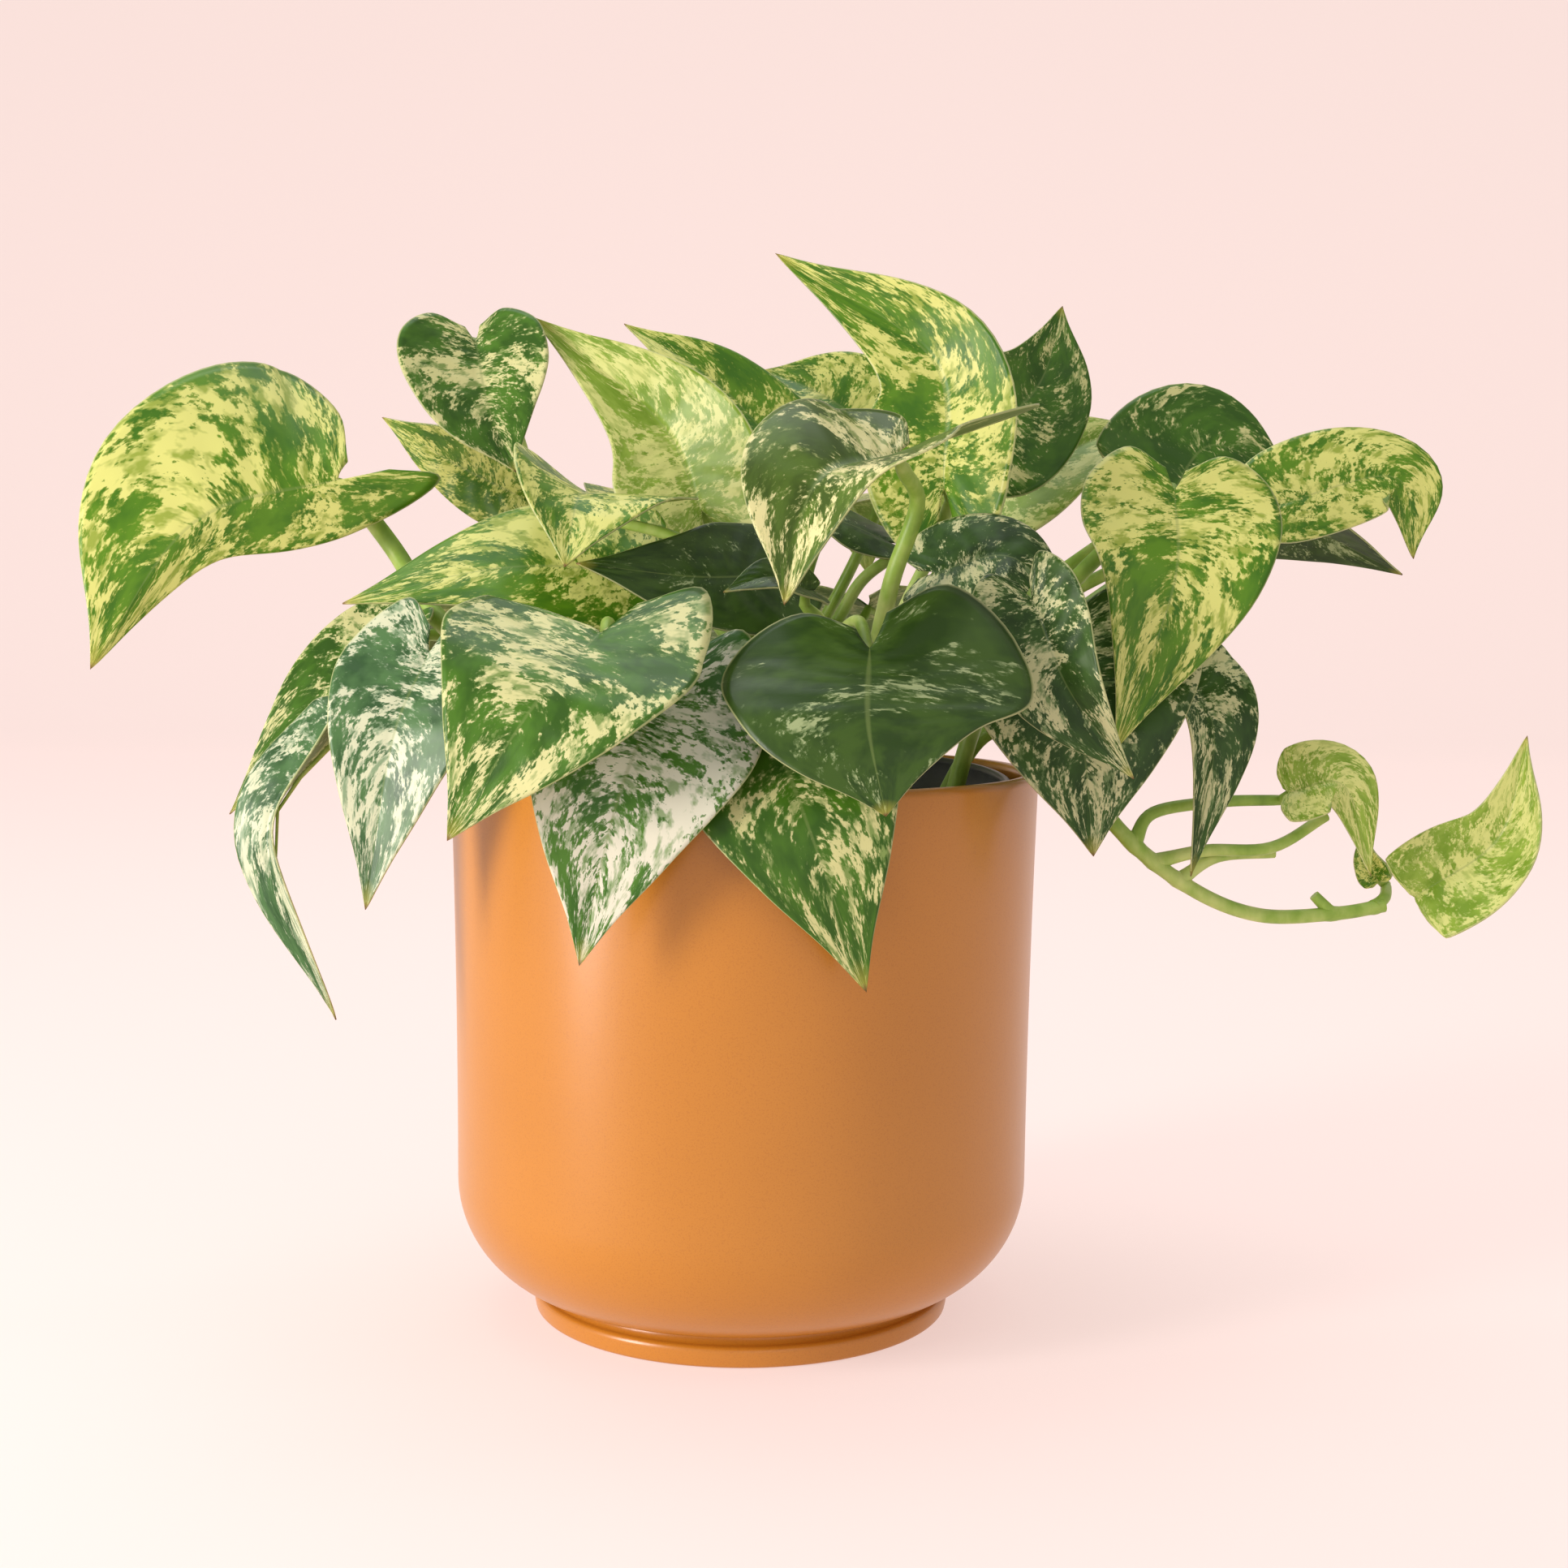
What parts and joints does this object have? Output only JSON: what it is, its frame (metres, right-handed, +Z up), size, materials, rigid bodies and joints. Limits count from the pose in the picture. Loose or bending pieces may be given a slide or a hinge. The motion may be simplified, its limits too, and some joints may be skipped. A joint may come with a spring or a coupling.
{
  "type": "potted pothos plant",
  "caption": "Bushy pothos with heart-shaped marbled leaves and trailing vines, in a plastic grow pot set inside a round-bottomed glazed ceramic cachepot with a low foot",
  "frame": {"origin": "centre of the cachepot's foot, on the table", "axes": "+Z up; the front faces -Y; +X is the side the long vine trails to"},
  "size_m": [0.3901, 0.2246, 0.297],
  "materials": {
    "glazed_ceramic": "satin glaze, warm tan orange",
    "grow_pot_plastic": "dark grey matte plastic",
    "soil": "dark, crumbly potting mix",
    "leaf": "satin green leaf, marbled cream and lime",
    "stem": "smooth light green stem"
  },
  "bodies": {
    "root": {"ceramic_pot": "glazed_ceramic", "nursery_pot": "grow_pot_plastic", "potting_soil": "soil", "leaf_01": "leaf", "leaf_02": "leaf", "leaf_03": "leaf", "leaf_04": "leaf", "leaf_05": "leaf", "leaf_06": "leaf", "leaf_07": "leaf", "leaf_08": "leaf", "leaf_09": "leaf", "leaf_10": "leaf", "leaf_11": "leaf", "leaf_12": "leaf", "leaf_13": "leaf", "leaf_14": "leaf", "leaf_15": "leaf", "leaf_16": "leaf", "leaf_17": "leaf", "leaf_18": "leaf", "leaf_19": "leaf", "leaf_20": "leaf", "leaf_21": "leaf", "leaf_22": "leaf", "leaf_23": "leaf", "leaf_24": "leaf", "leaf_25": "leaf", "leaf_26": "leaf", "leaf_27": "leaf", "leaf_28": "leaf", "leaf_29": "leaf", "leaf_30": "leaf", "leaf_31": "leaf", "leaf_32": "leaf", "leaf_33": "leaf", "leaf_34": "leaf", "leaf_35": "leaf", "leaf_36": "leaf", "leaf_37": "leaf", "leaf_38": "leaf", "leaf_39": "leaf", "leaf_40": "leaf", "leaf_41": "leaf", "leaf_42": "leaf", "vine_01": "stem", "vine_02": "stem", "vine_03": "stem", "vine_04": "stem", "vine_05": "stem", "vine_06": "stem", "vine_07": "stem", "vine_08": "stem", "vine_09": "stem", "vine_10": "stem"}
  },
  "joints": []
}
